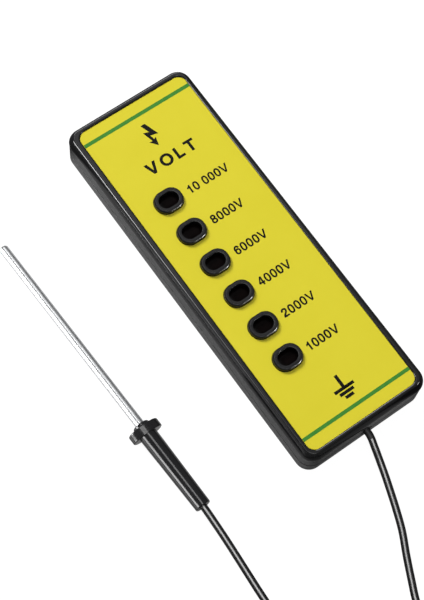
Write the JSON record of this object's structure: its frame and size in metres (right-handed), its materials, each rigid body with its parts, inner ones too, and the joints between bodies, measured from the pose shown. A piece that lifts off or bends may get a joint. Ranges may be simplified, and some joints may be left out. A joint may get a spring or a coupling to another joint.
{
  "type": "fence voltage tester",
  "caption": "Hand-held fence voltage tester with a lamp column beside a printed volt scale, a contact plate on its top end and a ground probe on a flexible lead.",
  "frame": {"origin": "middle of the rear face that the tester lies on", "axes": "+Z out of the label, +Y towards the contact end, +X to the right of the label"},
  "size_m": [0.099, 0.2534, 0.0171],
  "materials": {
    "housing_plastic": "moulded, semi-gloss",
    "label_yellow": "satin printed film",
    "print_black": "printed ink",
    "print_green": "printed ink",
    "lamp_window": "smoked, polished",
    "lamp_glass": "clear",
    "tinned_wire": "tinned",
    "board_laminate": "paper laminate",
    "resistor_body": "lacquered",
    "series_resistor_body": "lacquered",
    "screw_steel": "zinc plated",
    "contact_steel": "brushed stainless",
    "brass_strip": "tarnished",
    "wire_insulation": "extruded",
    "bush_rubber": "matt",
    "clamp_plastic": "moulded",
    "copper_core": "bare copper",
    "lead_jacket": "extruded, glossy",
    "tie_plastic": "moulded",
    "probe_steel": "drawn and polished",
    "handle_plastic": "moulded, glossy"
  },
  "bodies": {
    "tester": {"front_housing": "housing_plastic", "rear_cover": "housing_plastic", "front_label": "label_yellow", "lamp_windows": "lamp_window", "neon_bulbs": "lamp_glass", "neon_electrodes": "tinned_wire", "circuit_board": "board_laminate", "divider_resistors": "resistor_body", "series_resistors": "series_resistor_body", "resistor_leads": "tinned_wire", "board_screws": "screw_steel", "housing_screws": "screw_steel", "fence_contact": "contact_steel", "contact_rivets": "contact_steel", "contact_strap": "brass_strip", "contact_wire": "wire_insulation", "lead_bush": "bush_rubber", "lead_clamp": "clamp_plastic", "clamp_screws": "screw_steel", "lead_core_tester": "copper_core", "lead_exit_run": "lead_jacket", "lead_coil": "lead_jacket", "lead_tie": "tie_plastic"},
    "probe": {"probe_rod": "probe_steel", "probe_handle": "handle_plastic", "crimp_sleeve": "brass_strip", "lead_core_probe": "copper_core", "lead_probe_run": "lead_jacket"}
  },
  "joints": [
    {"name": "probe_swing", "type": "hinge", "parent": "tester", "child": "probe", "pos_m": [-0.0665, -0.1395, 0.0015], "axis": [0, 0, 1], "range_deg": [-8, 45]}
  ]
}
